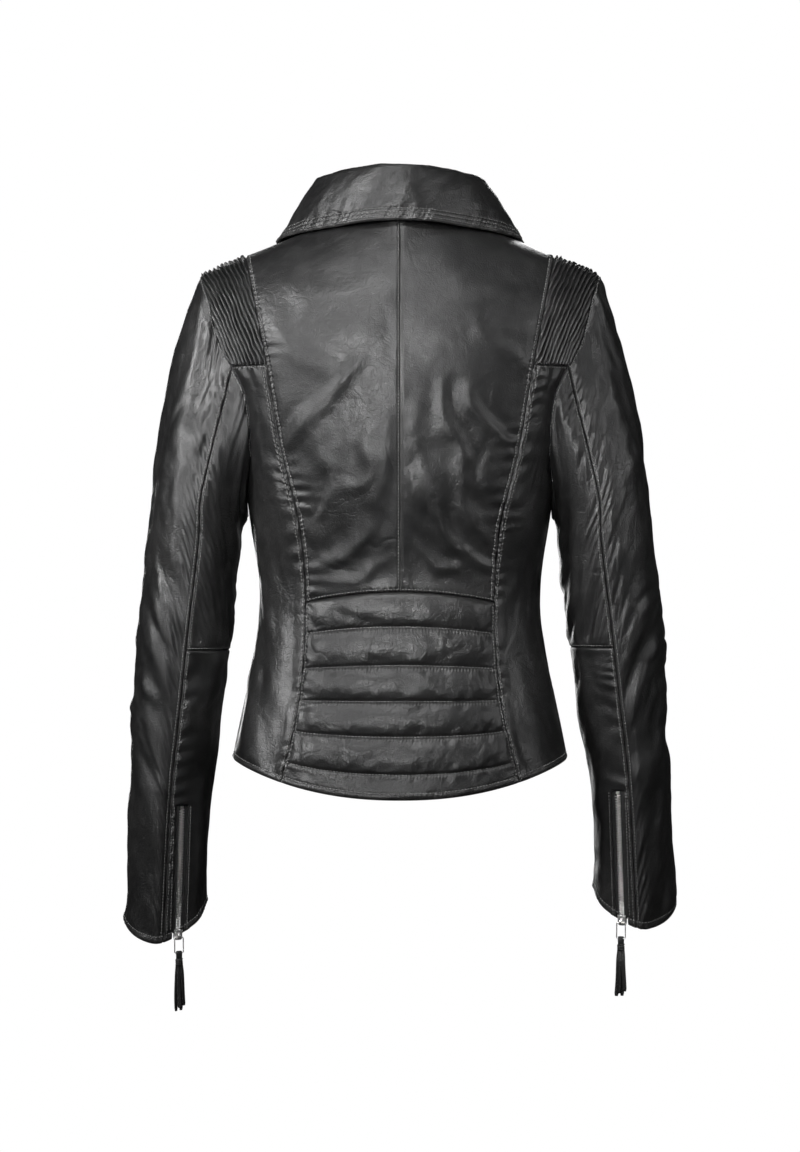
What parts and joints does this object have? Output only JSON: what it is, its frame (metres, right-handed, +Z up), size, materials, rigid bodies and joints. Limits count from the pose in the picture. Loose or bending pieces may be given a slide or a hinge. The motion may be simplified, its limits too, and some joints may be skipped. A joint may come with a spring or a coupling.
{
  "type": "riding jacket",
  "caption": "Short fitted black leather riding jacket, held up as worn: turned-down collar, ribbed shoulders, quilted lower back, and two-piece sleeves with zipped cuffs.",
  "frame": {"origin": "middle of the neck opening at the height of the nape seam, in the plane of the shoulder ridges", "axes": "+X the wearer's right, +Y the way the wearer faces, +Z up; the back faces -Y"},
  "size_m": [0.5406, 0.2309, 0.8124],
  "materials": {
    "leather": "semi-gloss grained black leather",
    "lining": "black satin",
    "wadding": "felted wadding",
    "zip_teeth": "polished metal teeth on black woven tape",
    "nickel": "polished nickel plate",
    "tassel": "semi-gloss black leather strips"
  },
  "bodies": {
    "shell": {"collar": "leather", "collar_stand": "leather", "lumbar_panel": "leather", "lumbar_wadding": "wadding", "hem_facing": "leather", "lining_back": "lining", "hanger_loop": "lining", "front_retainer": "nickel", "front_zip_left": "zip_teeth", "front_zip_right": "zip_teeth", "back_left": "leather", "side_back_left": "leather", "side_front_left": "leather", "shoulder_rib_left": "leather", "front_left": "leather", "lining_front_left": "lining", "lapel_left": "leather", "lapel_snap_left": "nickel", "pocket_zip_left": "zip_teeth", "pocket_bag_left": "lining", "back_right": "leather", "side_back_right": "leather", "side_front_right": "leather", "shoulder_rib_right": "leather", "front_right": "leather", "lining_front_right": "lining", "lapel_right": "leather", "lapel_snap_right": "nickel", "pocket_zip_right": "zip_teeth", "pocket_bag_right": "lining"},
    "sleeve_left": {"sleeve_top_left": "leather", "sleeve_under_upper_left": "leather", "sleeve_under_lower_left": "leather", "cuff_facing_left": "leather", "lining_sleeve_left": "lining", "cuff_zip_outer_left": "zip_teeth", "cuff_zip_inner_left": "zip_teeth", "cuff_stop_left": "nickel"},
    "cuff_left_slider": {"cuff_left_slider": "nickel"},
    "cuff_left_pull": {"cuff_left_pull": "nickel"},
    "cuff_left_tassel": {"cuff_left_tassel": "tassel"},
    "pocket_left_slider": {"pocket_left_slider": "nickel"},
    "pocket_left_pull": {"pocket_left_pull": "nickel"},
    "sleeve_right": {"sleeve_top_right": "leather", "sleeve_under_upper_right": "leather", "sleeve_under_lower_right": "leather", "cuff_facing_right": "leather", "lining_sleeve_right": "lining", "cuff_zip_outer_right": "zip_teeth", "cuff_zip_inner_right": "zip_teeth", "cuff_stop_right": "nickel"},
    "cuff_right_slider": {"cuff_right_slider": "nickel"},
    "cuff_right_pull": {"cuff_right_pull": "nickel"},
    "cuff_right_tassel": {"cuff_right_tassel": "tassel"},
    "pocket_right_slider": {"pocket_right_slider": "nickel"},
    "pocket_right_pull": {"pocket_right_pull": "nickel"},
    "front_slider": {"front_slider": "nickel"},
    "front_pull": {"front_pull": "nickel"},
    "front_tassel": {"front_tassel": "tassel"}
  },
  "joints": [
    {"name": "sleeve_left_swing", "type": "hinge", "parent": "shell", "child": "sleeve_left", "pos_m": [-0.193, 0, -0.05829], "axis": [0, 1, 0], "range_deg": [0, 15]},
    {"name": "cuff_left_zip_slide", "type": "slide", "parent": "sleeve_left", "child": "cuff_left_slider", "axis": [0.0384, -0.1049, 0.9937], "range_m": [0, 0.117], "deforming": ["cuff_zip_outer_left", "cuff_zip_inner_left"]},
    {"name": "cuff_left_pull_hinge", "type": "hinge", "parent": "cuff_left_slider", "child": "cuff_left_pull", "pos_m": [-0.21339, -0.01316, -0.69875], "axis": [-0.905, -0.4252, -0.0099], "range_deg": [0, 110]},
    {"name": "cuff_left_tassel_hinge", "type": "hinge", "parent": "cuff_left_pull", "child": "cuff_left_tassel", "pos_m": [-0.21326, -0.0131, -0.71375], "axis": [-0.905, -0.4252, -0.0099], "range_deg": [0, 60]},
    {"name": "pocket_left_zip_slide", "type": "slide", "parent": "shell", "child": "pocket_left_slider", "axis": [-0.231, -0.0641, -0.9708], "range_m": [0, 0.094], "deforming": ["pocket_zip_left"]},
    {"name": "pocket_left_pull_hinge", "type": "hinge", "parent": "pocket_left_slider", "child": "pocket_left_pull", "pos_m": [-0.06227, 0.10489, -0.38387], "axis": [0.9121, 0.3331, -0.239], "range_deg": [0, 150]},
    {"name": "sleeve_right_swing", "type": "hinge", "parent": "shell", "child": "sleeve_right", "pos_m": [0.193, 0, -0.05829], "axis": [0, -1, 0], "range_deg": [0, 15]},
    {"name": "cuff_right_zip_slide", "type": "slide", "parent": "sleeve_right", "child": "cuff_right_slider", "axis": [-0.0409, -0.1085, 0.9933], "range_m": [0, 0.117], "deforming": ["cuff_zip_outer_right", "cuff_zip_inner_right"]},
    {"name": "cuff_right_pull_hinge", "type": "hinge", "parent": "cuff_right_slider", "child": "cuff_right_pull", "pos_m": [0.21339, -0.01315, -0.68476], "axis": [-0.9048, 0.4257, 0.0092], "range_deg": [0, 110]},
    {"name": "cuff_right_tassel_hinge", "type": "hinge", "parent": "cuff_right_pull", "child": "cuff_right_tassel", "pos_m": [0.21327, -0.01309, -0.69976], "axis": [-0.9048, 0.4257, 0.0092], "range_deg": [0, 60]},
    {"name": "pocket_right_zip_slide", "type": "slide", "parent": "shell", "child": "pocket_right_slider", "axis": [0.231, -0.0641, -0.9708], "range_m": [0, 0.094], "deforming": ["pocket_zip_right"]},
    {"name": "pocket_right_pull_hinge", "type": "hinge", "parent": "pocket_right_slider", "child": "pocket_right_pull", "pos_m": [0.06227, 0.10489, -0.38387], "axis": [0.9121, -0.3331, 0.239], "range_deg": [0, 150]},
    {"name": "front_zip_slide", "type": "slide", "parent": "shell", "child": "front_slider", "axis": [0.1454, -0.0265, -0.989], "range_m": [0, 0.255], "deforming": ["front_zip_left", "front_zip_right"]},
    {"name": "front_pull_hinge", "type": "hinge", "parent": "front_slider", "child": "front_pull", "pos_m": [-0.05312, 0.11833, -0.26908], "axis": [0.9829, 0.1179, 0.1414], "range_deg": [0, 150]},
    {"name": "front_tassel_hinge", "type": "hinge", "parent": "front_pull", "child": "front_tassel", "pos_m": [-0.05102, 0.11859, -0.28393], "axis": [0.9829, 0.1179, 0.1414], "range_deg": [0, 60]}
  ]
}
